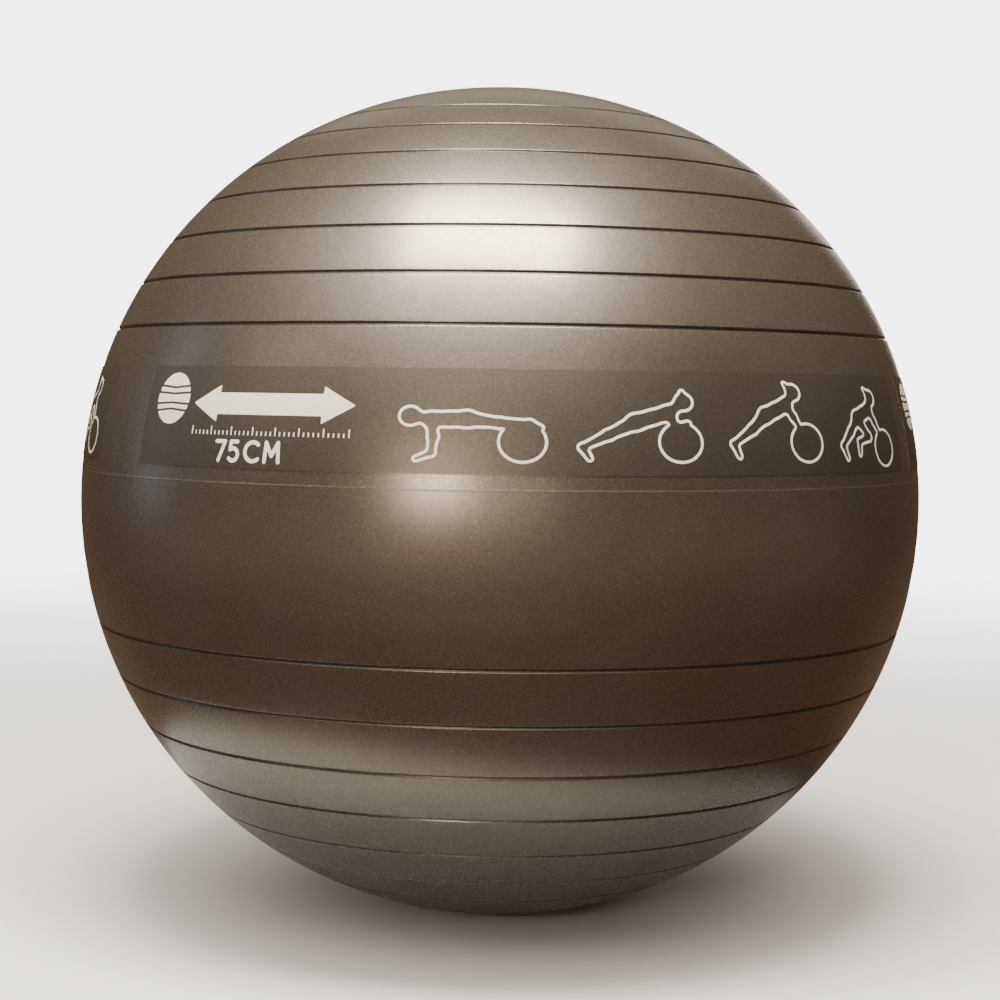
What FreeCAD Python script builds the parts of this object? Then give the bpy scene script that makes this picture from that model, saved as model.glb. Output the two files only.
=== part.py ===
"""Exercise ball: a hollow moulded skin with grip rings, three print films, and an air valve with its plug.

Millimetres and degrees. The origin is on the floor, at the middle of the flat patch that the ball rests on.
+Z points up through both poles, -Y is the front, and the valve opens along +Y at the back.

The skin's meridian is one arc of crown_radius, whose centre stands off the vertical axis, so that the ball is
a little wider than it is tall. Latitudes are angles on that arc, from the widest section. Longitudes run
from the front, positive towards +X.
"""

import FreeCAD, Part
import math
import os

import Sketcher

PARTS_FOLDER = "parts"
Z_AXIS = FreeCAD.Vector(0, 0, 1)

DIMENSIONS = {
    "equator_radius": 375.0,
    "crown_radius": 369.0,
    "wall": 1.0,
    "patch_radius": 35.0,
    "ring_round": 1.4,
    "ring_count": 7,
    "upper_ring_start": 23.9,
    "upper_ring_pitch": 6.94,
    "lower_ring_start": -16.7,
    "lower_ring_pitch": -7.5,
    "film_thickness": 0.25,
    "film_bottom": 6.1,
    "film_top": 18.4,
    "film_span": 113.2,
    "front_film_start": -50.2,
    "left_film_start": -175.7,
    "right_film_start": 67.3,
    "seat_radius": 14.0,
    "seat_thickness": 3.2,
    "sleeve_radius": 7.4,
    "sleeve_length": 25.0,
    "bore_radius": 4.55,
    "recess_radius": 9.3,
    "recess_depth": 2.0,
    "head_radius": 9.0,
    "head_thickness": 1.9,
    "head_edge_round": 0.6,
    "stem_radius": 4.5,
    "stem_length": 19.0,
    "tip_length": 3.0,
    "tip_radius": 3.4,
    "neck_radius": 3.9,
    "neck_length": 2.6,
    "neck_count": 3,
    "neck_pitch": 4.8,
    "first_neck": 1.6,
}

# Expressions that more than one feature uses.
CROWN_CENTRE = "(dims.equator_radius - dims.crown_radius)"
CENTRE_HEIGHT = f"sqrt(dims.crown_radius ^ 2 - (dims.patch_radius - {CROWN_CENTRE}) ^ 2)"
VALVE_FACE = "sqrt(dims.equator_radius ^ 2 - dims.seat_radius ^ 2)"
STEM_END = "(dims.recess_depth + dims.stem_length)"


def make_sheet(document):
    """Put the driving dimensions in a spreadsheet, one alias each."""
    sheet = document.addObject("Spreadsheet::Sheet", "dims")
    for row, (alias, value) in enumerate(DIMENSIONS.items(), start=1):
        sheet.set(f"A{row}", alias)
        sheet.set(f"B{row}", str(value))
        sheet.setAlias(f"B{row}", alias)
    document.recompute()
    return sheet


def new_body(document, name):
    """Start a body at the ball's centre height."""
    body = document.addObject("PartDesign::Body", name)
    body.Label = name
    body.setExpression("Placement.Base.z", CENTRE_HEIGHT)
    return body


def new_sketch(body, name):
    """Attach a sketch to the body's own XZ plane: sketch x is the radius, sketch y the height."""
    sketch = body.newObject("Sketcher::SketchObject", name)
    plane = next(item for item in body.Origin.OriginFeatures if item.Role == "XZ_Plane")
    sketch.AttachmentSupport = [(plane, "")]
    sketch.MapMode = "FlatFace"
    return sketch


def bind(sketch, constraint, name, expression):
    """Add a sketch constraint and bind its value to an expression."""
    index = sketch.addConstraint(constraint)
    sketch.renameConstraint(index, name)
    sketch.setExpression(f"Constraints.{name}", expression)


def place_of(sketch, across, up):
    """Work out a point from two expressions, for the first place of a sketch's geometry."""
    return FreeCAD.Vector(sketch.evalExpression(across), sketch.evalExpression(up), 0)


def pin_point(sketch, geometry, corner, name, across, up):
    """Tie one point of a sketch to the axis at a bound distance across and up."""
    place = place_of(sketch, across, up)
    for kind, value, expression in (("DistanceX", place.x, across), ("DistanceY", place.y, up)):
        bind(sketch, Sketcher.Constraint(kind, -1, 1, geometry, corner, value), f"{name}_{kind}", expression)


def add_outline(sketch, corners):
    """Draw a closed outline of straight edges through corners given as pairs of expressions."""
    points = [place_of(sketch, across, up) for across, up in corners]
    count = len(points)
    for start, end in zip(points, points[1:] + points[:1]):
        sketch.addGeometry(Part.LineSegment(start, end))
    for edge in range(count):
        sketch.addConstraint(Sketcher.Constraint("Coincident", edge, 2, (edge + 1) % count, 1))
    for edge, (across, up) in enumerate(corners):
        pin_point(sketch, edge, 1, f"corner_{edge}", across, up)


def add_crown_arc(sketch, name, radius, low, high):
    """Draw an arc about the crown's centre between two latitudes and bind its centre and radius."""
    centre = place_of(sketch, CROWN_CENTRE, "0")
    circle = Part.Circle(centre, Z_AXIS, sketch.evalExpression(radius))
    arc = sketch.addGeometry(Part.ArcOfCircle(circle, math.radians(low), math.radians(high)))
    sketch.addConstraint(Sketcher.Constraint("PointOnObject", arc, 3, -1))
    bind(sketch, Sketcher.Constraint("DistanceX", -1, 1, arc, 3, centre.x), f"{name}_centre", CROWN_CENTRE)
    bind(sketch, Sketcher.Constraint("Radius", arc, circle.Radius), f"{name}_radius", radius)
    return arc


def revolve(body, sketch, kind, name, angle=None):
    """Turn a sketch about the vertical axis: a full turn, or the bound angle."""
    feature = body.newObject(kind, name)
    feature.Profile = sketch
    feature.ReferenceAxis = (sketch, ["V_Axis"])
    feature.Angle = 360.0
    if angle:
        feature.setExpression("Angle", angle)
    body.Document.recompute()
    return feature


def crown_solid(body, name, radius, depth):
    """Make the solid inside one meridian arc, flattened at a bound depth below its centre."""
    sketch = new_sketch(body, f"{name}_meridian")
    foot_latitude = sketch.evalExpression(f"-({depth}) / ({radius})")
    arc = add_crown_arc(sketch, "arc", radius, math.degrees(math.asin(foot_latitude)), 90)
    top = sketch.getPoint(arc, 2)
    foot = sketch.getPoint(arc, 1)
    above = FreeCAD.Vector(0, top.y, 0)
    below = FreeCAD.Vector(0, foot.y, 0)
    top_edge = sketch.addGeometry(Part.LineSegment(top, above))
    axis_edge = sketch.addGeometry(Part.LineSegment(above, below))
    foot_edge = sketch.addGeometry(Part.LineSegment(below, foot))
    for first, first_end, second, second_end in (
        (arc, 2, top_edge, 1),
        (top_edge, 2, axis_edge, 1),
        (axis_edge, 2, foot_edge, 1),
        (foot_edge, 2, arc, 1),
    ):
        sketch.addConstraint(Sketcher.Constraint("Coincident", first, first_end, second, second_end))
    sketch.addConstraint(Sketcher.Constraint("Horizontal", top_edge))
    sketch.addConstraint(Sketcher.Constraint("Horizontal", foot_edge))
    sketch.addConstraint(Sketcher.Constraint("PointOnObject", axis_edge, 1, -2))
    sketch.addConstraint(Sketcher.Constraint("PointOnObject", axis_edge, 2, -2))
    bind(sketch, Sketcher.Constraint("DistanceX", -1, 1, arc, 2, top.x), "crown_top", CROWN_CENTRE)
    bind(sketch, Sketcher.Constraint("DistanceY", -1, 1, arc, 1, foot.y), "flat_height", f"-({depth})")
    revolve(body, sketch, "PartDesign::Revolution", f"{name}_solid")


def cut_rings(body, name, ring_count, round_radius):
    """Cut a round ring into the body at each grip ring's latitude, above and below the smooth band."""
    sketch = new_sketch(body, f"{name}_rings")
    radius = sketch.evalExpression(round_radius)
    for side in ("upper", "lower"):
        for ring in range(ring_count):
            latitude = f"(dims.{side}_ring_start + {ring} * dims.{side}_ring_pitch)"
            across = f"{CROWN_CENTRE} + dims.crown_radius * cos({latitude})"
            up = f"dims.crown_radius * sin({latitude})"
            circle = sketch.addGeometry(Part.Circle(place_of(sketch, across, up), Z_AXIS, radius))
            pin_point(sketch, circle, 3, f"{side}_{ring}", across, up)
            bind(sketch, Sketcher.Constraint("Radius", circle, radius), f"{side}_{ring}_radius", round_radius)
    volume = body.Shape.Volume
    revolve(body, sketch, "PartDesign::Groove", f"{name}_ring_cut")
    check_cut(body, volume)


def check_cut(body, volume_before):
    """Stop if a cut took nothing away."""
    if body.Shape.Volume > volume_before - 1.0:
        raise RuntimeError(f"a cut in {body.Label} removed nothing")


def make_ball_shell(document, sheet):
    """Make the skin: the outside with its rings and valve hole, less the air space with matching ridges."""
    ring_count = int(sheet.ring_count)
    outside = new_body(document, "outside")
    crown_solid(outside, "outside", "dims.crown_radius", CENTRE_HEIGHT)
    cut_rings(outside, "outside", ring_count, "dims.ring_round")

    hole = new_sketch(outside, "valve_hole")
    hole.addGeometry(Part.Circle(FreeCAD.Vector(0, 0, 0), Z_AXIS, sheet.seat_radius))
    hole.addConstraint(Sketcher.Constraint("Coincident", 0, 3, -1, 1))
    bind(hole, Sketcher.Constraint("Radius", 0, sheet.seat_radius), "hole_radius", "dims.seat_radius")
    volume = outside.Shape.Volume
    pocket = outside.newObject("PartDesign::Pocket", "valve_pocket")
    pocket.Profile = hole
    pocket.Type = "ThroughAll"
    document.recompute()
    check_cut(outside, volume)

    air = new_body(document, "air_space")
    crown_solid(air, "air", "dims.crown_radius - dims.wall", f"{CENTRE_HEIGHT} - dims.wall")
    cut_rings(air, "air", ring_count, "dims.ring_round + dims.wall")

    shell = document.addObject("Part::Cut", "ball_shell")
    shell.Base = outside
    shell.Tool = air
    shell.Label = "ball_shell"
    return shell


def make_print_film(document, sheet, name, start):
    """Make one transfer film: a thin patch of the crown between two latitudes, from a bound longitude."""
    film = new_body(document, name)
    # The section is revolved from +X, a quarter turn after the front. Any small first turn sets the axis.
    film.Placement.Rotation = FreeCAD.Rotation(Z_AXIS, 1)
    film.setExpression("Placement.Rotation.Angle", f"({start} - 90) * 1 deg")
    sketch = new_sketch(film, f"{name}_section")
    arcs = []
    faces = {"inner": "dims.crown_radius", "outer": "dims.crown_radius + dims.film_thickness"}
    for side, radius in faces.items():
        arc = add_crown_arc(sketch, side, radius, sheet.film_bottom, sheet.film_top)
        for end, edge in ((1, "bottom"), (2, "top")):
            height = f"({radius}) * sin(dims.film_{edge})"
            value = sketch.evalExpression(height)
            bind(sketch, Sketcher.Constraint("DistanceY", -1, 1, arc, end, value), f"{side}_{edge}", height)
        arcs.append(arc)
    inner, outer = arcs
    for end in (1, 2):
        edge = sketch.addGeometry(Part.LineSegment(sketch.getPoint(inner, end), sketch.getPoint(outer, end)))
        sketch.addConstraint(Sketcher.Constraint("Coincident", edge, 1, inner, end))
        sketch.addConstraint(Sketcher.Constraint("Coincident", edge, 2, outer, end))
    revolve(film, sketch, "PartDesign::Revolution", f"{name}_patch", "dims.film_span")
    return film


def place_in_valve(body):
    """Turn a body's +Z outwards along the valve's axis, with its origin on the seat's outer face."""
    body.Placement.Rotation = FreeCAD.Rotation(FreeCAD.Vector(1, 0, 0), -90)
    body.setExpression("Placement.Base.y", VALVE_FACE)


def make_valve_seat(document):
    """Make the seat: a flange welded into the skin's hole, a recess for the plug's head, and a sleeve."""
    seat = new_body(document, "valve_seat")
    place_in_valve(seat)
    sketch = new_sketch(seat, "seat_section")
    add_outline(sketch, (
        ("dims.recess_radius", "0"),
        ("dims.seat_radius", "0"),
        ("dims.seat_radius", "-dims.seat_thickness"),
        ("dims.sleeve_radius", "-dims.seat_thickness"),
        ("dims.sleeve_radius", "-dims.sleeve_length"),
        ("dims.bore_radius", "-dims.sleeve_length"),
        ("dims.bore_radius", "-dims.recess_depth"),
        ("dims.recess_radius", "-dims.recess_depth"),
    ))
    revolve(seat, sketch, "PartDesign::Revolution", "seat_ring")
    return seat


def make_valve_plug(document):
    """Make the plug: a flat round head, and a stem with a tapered tip and necks between its seal rings."""
    plug = new_body(document, "valve_plug")
    place_in_valve(plug)
    sketch = new_sketch(plug, "plug_section")
    add_outline(sketch, (
        ("0", "-dims.recess_depth + dims.head_thickness"),
        ("dims.head_radius", "-dims.recess_depth + dims.head_thickness"),
        ("dims.head_radius", "-dims.recess_depth"),
        ("dims.stem_radius", "-dims.recess_depth"),
        ("dims.stem_radius", f"-{STEM_END} + dims.tip_length"),
        ("dims.tip_radius", f"-{STEM_END}"),
        ("0", f"-{STEM_END}"),
    ))
    revolve(plug, sketch, "PartDesign::Revolution", "plug_solid")

    neck = new_sketch(plug, "neck_section")
    neck_top = "-dims.recess_depth - dims.first_neck"
    add_outline(neck, (
        ("dims.neck_radius", neck_top),
        ("dims.head_radius", neck_top),
        ("dims.head_radius", f"{neck_top} - dims.neck_length"),
        ("dims.neck_radius", f"{neck_top} - dims.neck_length"),
    ))
    volume = plug.Shape.Volume
    groove = revolve(plug, neck, "PartDesign::Groove", "neck_cut")
    check_cut(plug, volume)
    volume = plug.Shape.Volume
    pattern = plug.newObject("PartDesign::LinearPattern", "necks")
    pattern.Originals = [groove]
    pattern.Direction = (neck, ["V_Axis"])
    pattern.Reversed = True
    pattern.setExpression("Length", "dims.neck_pitch * (dims.neck_count - 1)")
    pattern.setExpression("Occurrences", "dims.neck_count")
    plug.Tip = pattern
    document.recompute()
    check_cut(plug, volume)

    rim = max(range(len(pattern.Shape.Edges)), key=lambda index: edge_rank(pattern.Shape.Edges[index]))
    rounding = plug.newObject("PartDesign::Fillet", "head_edge")
    rounding.Base = (pattern, [f"Edge{rim + 1}"])
    rounding.setExpression("Radius", "dims.head_edge_round")
    plug.Tip = rounding
    return plug


def edge_rank(edge):
    """Rank an edge by its height along the plug, then by its length, to find the head's outer rim."""
    return round(edge.BoundBox.Center.z, 3), edge.Length


def export(parts):
    """Check every sub-part and write each one to its own file."""
    os.makedirs(PARTS_FOLDER, exist_ok=True)
    for part in parts:
        shape = part.Shape
        if shape.isNull() or not shape.isValid() or len(shape.Solids) != 1:
            raise RuntimeError(f"{part.Label} isn't one valid solid")
        shape.exportStep(f"{PARTS_FOLDER}/{part.Label}.step")
        box = shape.BoundBox
        print(f"{part.Label}: {shape.Volume:.1f} mm3, z {box.ZMin:.2f} to {box.ZMax:.2f}")


def main():
    """Build the ball and write its sub-parts."""
    document = FreeCAD.newDocument("exercise_ball")
    sheet = make_sheet(document)
    parts = [make_ball_shell(document, sheet)]
    for side in ("front", "left", "right"):
        parts.append(make_print_film(document, sheet, f"print_panel_{side}", f"dims.{side}_film_start"))
    parts.append(make_valve_seat(document))
    parts.append(make_valve_plug(document))
    document.recompute()
    failed = [item.Label for item in document.Objects if {"Invalid", "Error"} & set(item.State)]
    if failed:
        raise RuntimeError(f"these didn't build: {failed}")
    export(parts)


main()
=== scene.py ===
"""Looks for an exercise ball: a pearly vinyl skin with grip rings, printed films, and an air valve.

Metres and radians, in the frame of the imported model: the origin is on the floor under the ball's
centre, +Z is up and -Y is the front. Latitudes are angles on the crown's arc, from the widest
section. Longitudes run from the front, positive towards +X. Flat artwork is laid out in
millimetres and pressed onto the crown.
"""

import logging
import math
from collections.abc import Callable, Iterable, Sequence
from dataclasses import dataclass, field
from enum import Enum

import bmesh
import bpy
import numpy as np
from mathutils import Matrix, Vector


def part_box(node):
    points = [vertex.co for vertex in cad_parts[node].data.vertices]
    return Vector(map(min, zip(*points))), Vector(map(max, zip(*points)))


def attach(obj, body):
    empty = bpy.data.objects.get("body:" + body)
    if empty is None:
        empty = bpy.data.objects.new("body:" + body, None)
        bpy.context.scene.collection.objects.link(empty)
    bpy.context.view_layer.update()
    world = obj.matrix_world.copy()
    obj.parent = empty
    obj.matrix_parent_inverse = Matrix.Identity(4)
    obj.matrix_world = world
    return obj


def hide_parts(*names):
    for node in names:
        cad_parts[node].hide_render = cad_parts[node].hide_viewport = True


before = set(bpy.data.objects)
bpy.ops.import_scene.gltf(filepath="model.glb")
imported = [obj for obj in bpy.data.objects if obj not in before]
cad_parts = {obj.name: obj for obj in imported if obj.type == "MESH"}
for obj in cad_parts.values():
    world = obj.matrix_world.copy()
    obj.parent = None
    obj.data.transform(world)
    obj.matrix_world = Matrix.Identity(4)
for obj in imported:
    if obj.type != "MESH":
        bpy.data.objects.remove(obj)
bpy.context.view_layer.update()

LOG = logging.getLogger("exercise_ball")
MM = 0.001
NODE_STEP = 190
BACK = Vector((0, 1, 0))

Point = tuple[float, float]
Triple = tuple[float, float, float]
Field = Callable[[np.ndarray, np.ndarray], np.ndarray]
Feeds = dict[str | int, object]
Loop = list[bmesh.types.BMVert]
BMesh = bmesh.types.BMesh
Mesh = bpy.types.Mesh
Socket = bpy.types.NodeSocket
Tree = bpy.types.NodeTree


class Body(Enum):
    """The bodies that pieces ride on."""

    BALL = "ball"
    PLUG = "plug"


class Slot(Enum):
    """The record's material slots."""

    SKIN = "skin"
    FILM = "print_film"
    INK = "print_ink"
    SEAT = "valve_rubber"
    PLUG = "plug_plastic"


class Wall(Enum):
    """The two sides of the skin."""

    OUTER = "outer"
    INNER = "inner"


# ---- Node trees --------------------------------------------------------------------------------


class Wiring:
    """Adds nodes to a tree and joins their sockets."""

    def __init__(self, tree: Tree) -> None:
        """Start on a tree."""
        self.tree = tree

    def add(self, kind: str, feeds: Feeds | None = None, **settings: object) -> bpy.types.Node:
        """Add a node.

        Args:
            kind: The node's type name.
            feeds: What each input gets, by its name or number: a socket to join or a plain value.
            **settings: The node's own properties.

        Returns:
            The new node.
        """
        node = self.tree.nodes.new(kind)
        node.location = (NODE_STEP * len(self.tree.nodes), 0)
        for name, value in settings.items():
            setattr(node, name, value)
        for key, value in (feeds or {}).items():
            self.feed(node.inputs[key], value)
        return node

    def feed(self, socket: Socket, value: object) -> None:
        """Give an input what it needs.

        Args:
            socket: The input.
            value: A socket to join to it, or a plain value.
        """
        if isinstance(value, Socket):
            self.tree.links.new(value, socket)
        else:
            socket.default_value = value

    def out(self, kind: str, feeds: Feeds | None = None, **settings: object) -> Socket:
        """Add a node and return its first output."""
        return self.add(kind, feeds, **settings).outputs[0]

    def maths(self, operation: str, *values: object) -> Socket:
        """Add a Math node on up to three values and return its result."""
        return self.out("ShaderNodeMath", dict(enumerate(values)), operation=operation)

    def vector(self, x: object = 0.0, y: object = 0.0, z: object = 0.0) -> Socket:
        """Make a vector of three values."""
        return self.out("ShaderNodeCombineXYZ", {0: x, 1: y, 2: z})

    def parts(self, vector: Socket) -> Sequence[Socket]:
        """Take a vector apart into its three values."""
        return self.add("ShaderNodeSeparateXYZ", {0: vector}).outputs

    def scaled(self, vector: object, factor: object) -> Socket:
        """Multiply a vector or a colour by a number."""
        return self.out("ShaderNodeVectorMath", {0: vector, "Scale": factor}, operation="SCALE")

    def blend(self, share: object, first: object, second: object) -> Socket:
        """Mix two colours, with none of the second at a share of zero and all of it at one."""
        return self.add("ShaderNodeMix", {0: share, 6: first, 7: second}, data_type="RGBA").outputs[2]

    def remap(
        self, value: object, source: Sequence[object], target: Sequence[object], shape: str = "LINEAR"
    ) -> Socket:
        """Add a clamped Map Range node.

        Args:
            value: The value to map.
            source: The range's two ends before mapping.
            target: What the two ends become.
            shape: The curve between them.

        Returns:
            The mapped value's socket.
        """
        names = ("Value", "From Min", "From Max", "To Min", "To Max")
        feeds = dict(zip(names, (value, *source, *target)))
        return self.out("ShaderNodeMapRange", feeds, interpolation_type=shape)


class GroupWiring(Wiring):
    """Builds a node group with named inputs and outputs."""

    def __init__(self, name: str, kind: str) -> None:
        """Make an empty group.

        Args:
            name: The group's name.
            kind: Its tree type.
        """
        super().__init__(bpy.data.node_groups.new(name, kind))
        self.entry = self.tree.nodes.new("NodeGroupInput")
        self.exit = self.tree.nodes.new("NodeGroupOutput")

    def take(self, name: str, kind: str = "NodeSocketFloat") -> Socket:
        """Add a named input and return the socket that carries it inside the group."""
        self.tree.interface.new_socket(name=name, in_out="INPUT", socket_type=kind)
        return self.entry.outputs[name]

    def give(self, name: str, kind: str, value: Socket) -> None:
        """Add a named output and join it to a socket."""
        self.tree.interface.new_socket(name=name, in_out="OUTPUT", socket_type=kind)
        self.tree.links.new(value, self.exit.inputs[name])


class GeometryWiring(GroupWiring):
    """Builds a Geometry Nodes tree."""

    def __init__(self, name: str) -> None:
        """Make an empty geometry tree."""
        super().__init__(name, "GeometryNodeTree")

    def grid(self, size: Sequence[object], counts: Sequence[object]) -> Socket:
        """Make a flat grid of the given sides, with so many points along each."""
        names = ("Size X", "Size Y", "Vertices X", "Vertices Y")
        return self.out("GeometryNodeMeshGrid", dict(zip(names, (*size, *counts))))

    def move(self, geometry: Socket, **where: Socket) -> Socket:
        """Put the points at a Position, or shift them by an Offset."""
        return self.out("GeometryNodeSetPosition", {"Geometry": geometry, **where})

    def join(self, *parts: Socket) -> Socket:
        """Join several geometries.

        Args:
            *parts: The geometries, first to last.

        Returns:
            All of them as one.
        """
        node = self.tree.nodes.new("GeometryNodeJoinGeometry")
        for part in parts:
            self.tree.links.new(part, node.inputs[0])
        return node.outputs[0]

    def dress(self, geometry: Socket) -> Tree:
        """End the tree: realize its instances, set the material that it is given, and put it out.

        Args:
            geometry: What the tree has made.

        Returns:
            The finished tree.
        """
        real = self.out("GeometryNodeRealizeInstances", {0: geometry})
        material = self.take("Material", "NodeSocketMaterial")
        dressed = self.out("GeometryNodeSetMaterial", {"Geometry": real, "Material": material})
        self.give("Geometry", "NodeSocketGeometry", dressed)
        return self.tree


def grow(tree: Tree, values: dict[str, object], seed: Mesh | None = None) -> Mesh:
    """Run a geometry tree and keep its result as a plain mesh.

    Args:
        tree: The geometry tree.
        values: The value of each named input. Names that the tree doesn't have are passed over.
        seed: The mesh that goes into the tree, if it takes one.

    Returns:
        The resulting mesh.
    """
    holder = bpy.data.objects.new("holder", seed or bpy.data.meshes.new("nothing"))
    bpy.context.scene.collection.objects.link(holder)
    modifier = holder.modifiers.new("tree", "NODES")
    modifier.node_group = tree
    for item in tree.interface.items_tree:
        if item.in_out == "INPUT" and item.name in values:
            modifier[item.identifier] = values[item.name]
    graph = bpy.context.evaluated_depsgraph_get()
    mesh = bpy.data.meshes.new_from_object(holder.evaluated_get(graph), depsgraph=graph)
    bpy.data.objects.remove(holder)
    return mesh


# ---- Finishes ----------------------------------------------------------------------------------


@dataclass(frozen=True)
class Grain:
    """The flakes, mottling and fine grain that every finish shares. Scales are waves to a metre."""

    fleck_range: Point = (0.35, 1.0)
    cloud_scale: float = 9.0
    cloud_detail: float = 4.0
    cloud_range: Point = (0.25, 0.75)
    cloud_gloss: float = 0.5
    fine_scale: float = 650.0
    fine_detail: float = 3.0
    fine_range: Point = (0.3, 0.7)
    cell_height: float = 0.7

    def group(self) -> Tree:
        """Build the shader group.

        Returns:
            The group. It puts out a colour, a roughness and a height for a bump.
        """
        wiring = GroupWiring("moulded grain", "ShaderNodeTree")
        base, flake = (wiring.take(name, "NodeSocketColor") for name in ("Base", "Flake"))
        names = ("Flake Size", "Flake Amount", "Mottle", "Roughness", "Roughness Spread")
        flake_size, flake_amount, mottle, roughness, spread = (wiring.take(name) for name in names)
        place = wiring.add("ShaderNodeTexCoord").outputs["Object"]
        signs = (-1.0, 1.0)

        cells = {"Vector": place, "Scale": wiring.maths("DIVIDE", 1.0, flake_size)}
        voronoi = wiring.add("ShaderNodeTexVoronoi", cells).outputs["Color"]
        tone = wiring.add("ShaderNodeSeparateColor", {0: voronoi}).outputs
        fleck = wiring.remap(tone[0], self.fleck_range, (0.0, 1.0), "SMOOTHSTEP")
        pearly = wiring.blend(wiring.maths("MULTIPLY", fleck, flake_amount), base, flake)

        clouds = {"Vector": place, "Scale": self.cloud_scale, "Detail": self.cloud_detail}
        swing = wiring.remap(wiring.out("ShaderNodeTexNoise", clouds), self.cloud_range, signs)
        mottled = wiring.scaled(pearly, wiring.maths("MULTIPLY_ADD", swing, mottle, 1.0))

        specks = {"Vector": place, "Scale": self.fine_scale, "Detail": self.fine_detail}
        fine = wiring.out("ShaderNodeTexNoise", specks)
        both = wiring.maths(
            "MULTIPLY_ADD", swing, self.cloud_gloss, wiring.remap(fine, self.fine_range, signs)
        )
        rough = wiring.maths("MULTIPLY_ADD", both, spread, roughness)
        height = wiring.maths("MULTIPLY_ADD", tone[1], self.cell_height, fine)

        wiring.give("Color", "NodeSocketColor", mottled)
        wiring.give("Roughness", "NodeSocketFloat", rough)
        wiring.give("Height", "NodeSocketFloat", height)
        return wiring.tree


@dataclass(frozen=True)
class Finish:
    """A surface finish. Colours are linear. The grain is the height of its bumps in metres. The seam shading sets
    how strongly shade and highlight are painted by the "seam" attribute.
    """

    name: str
    slot: Slot
    base: Triple
    flake: Triple
    flake_size: float
    flake_amount: float
    mottle: float
    roughness: float
    roughness_spread: float
    grain: float
    metallic: float = 0.0
    coat: float = 0.0
    coat_roughness: float = 0.2
    painted_seam_shading: float = 0.0

    def material(self, grain: Tree) -> bpy.types.Material:
        """Make the finish's material.

        Args:
            grain: The shared grain group.

        Returns:
            The material. Where the seam shading is above zero, the mesh's "seam" attribute paints shade into its
            grooves and a highlight onto its raised ridges, where that attribute is below zero.
        """
        material = bpy.data.materials.new(self.name)
        material.use_nodes = True
        wiring = Wiring(material.node_tree)
        feeds = {
            "Base": (*self.base, 1.0),
            "Flake": (*self.flake, 1.0),
            "Flake Size": self.flake_size,
            "Flake Amount": self.flake_amount,
            "Mottle": self.mottle,
            "Roughness": self.roughness,
            "Roughness Spread": self.roughness_spread,
        }
        group = wiring.add("ShaderNodeGroup", feeds, node_tree=grain)
        color = group.outputs["Color"]
        # Painted shade and highlight: the "seam" attribute darkens the colour in the ring grooves and on their
        # lips, and lightens it along the raised parting line, where the attribute is below zero.
        if self.painted_seam_shading:
            seam = wiring.add("ShaderNodeAttribute", attribute_name="seam").outputs["Fac"]
            color = wiring.scaled(color, wiring.maths("MULTIPLY_ADD", seam, -self.painted_seam_shading, 1.0))
        bump = {"Height": group.outputs["Height"], "Distance": self.grain, "Strength": 1.0}
        shader = material.node_tree.nodes["Principled BSDF"]
        for name, value in {
            "Base Color": color,
            "Roughness": group.outputs["Roughness"],
            "Normal": wiring.out("ShaderNodeBump", bump),
            "Metallic": self.metallic,
            "Coat Weight": self.coat,
            "Coat Roughness": self.coat_roughness,
        }.items():
            wiring.feed(shader.inputs[name], value)
        return material


# The skin's seam shading paints shade into the ring grooves and a highlight along the raised parting line.
SKIN_VINYL = Finish(
    "pearl_vinyl", Slot.SKIN, (0.15, 0.128, 0.105), (0.4, 0.36, 0.31), flake_size=0.8 * MM,
    flake_amount=0.28, mottle=0.05, metallic=0.75, roughness=0.27, roughness_spread=0.03,
    grain=0.026 * MM, coat=0.2, coat_roughness=0.3, painted_seam_shading=0.58,
)
CLEAR_FILM = Finish(
    "smoke_film", Slot.FILM, (0.1, 0.085, 0.069), (0.28, 0.25, 0.21), flake_size=0.8 * MM,
    flake_amount=0.2, mottle=0.05, metallic=0.68, roughness=0.36, roughness_spread=0.03,
    grain=0.02 * MM,
)
WHITE_INK = Finish(
    "white_ink", Slot.INK, (0.86, 0.84, 0.78), (0.72, 0.7, 0.64), flake_size=0.7 * MM,
    flake_amount=0.15, mottle=0.02, roughness=0.48, roughness_spread=0.06, grain=0.02 * MM,
)
SEAT_RUBBER = Finish(
    "valve_rubber", Slot.SEAT, (0.085, 0.073, 0.06), (0.2, 0.18, 0.15), flake_size=0.9 * MM,
    flake_amount=0.2, mottle=0.12, metallic=0.2, roughness=0.45, roughness_spread=0.06,
    grain=0.02 * MM, coat=0.1,
)
PLUG_PLASTIC = Finish(
    "plug_plastic", Slot.PLUG, (0.02, 0.019, 0.018), (0.06, 0.058, 0.055), flake_size=0.5 * MM,
    flake_amount=0.25, mottle=0.15, roughness=0.36, roughness_spread=0.07, grain=0.012 * MM,
    coat=0.15,
)


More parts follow.
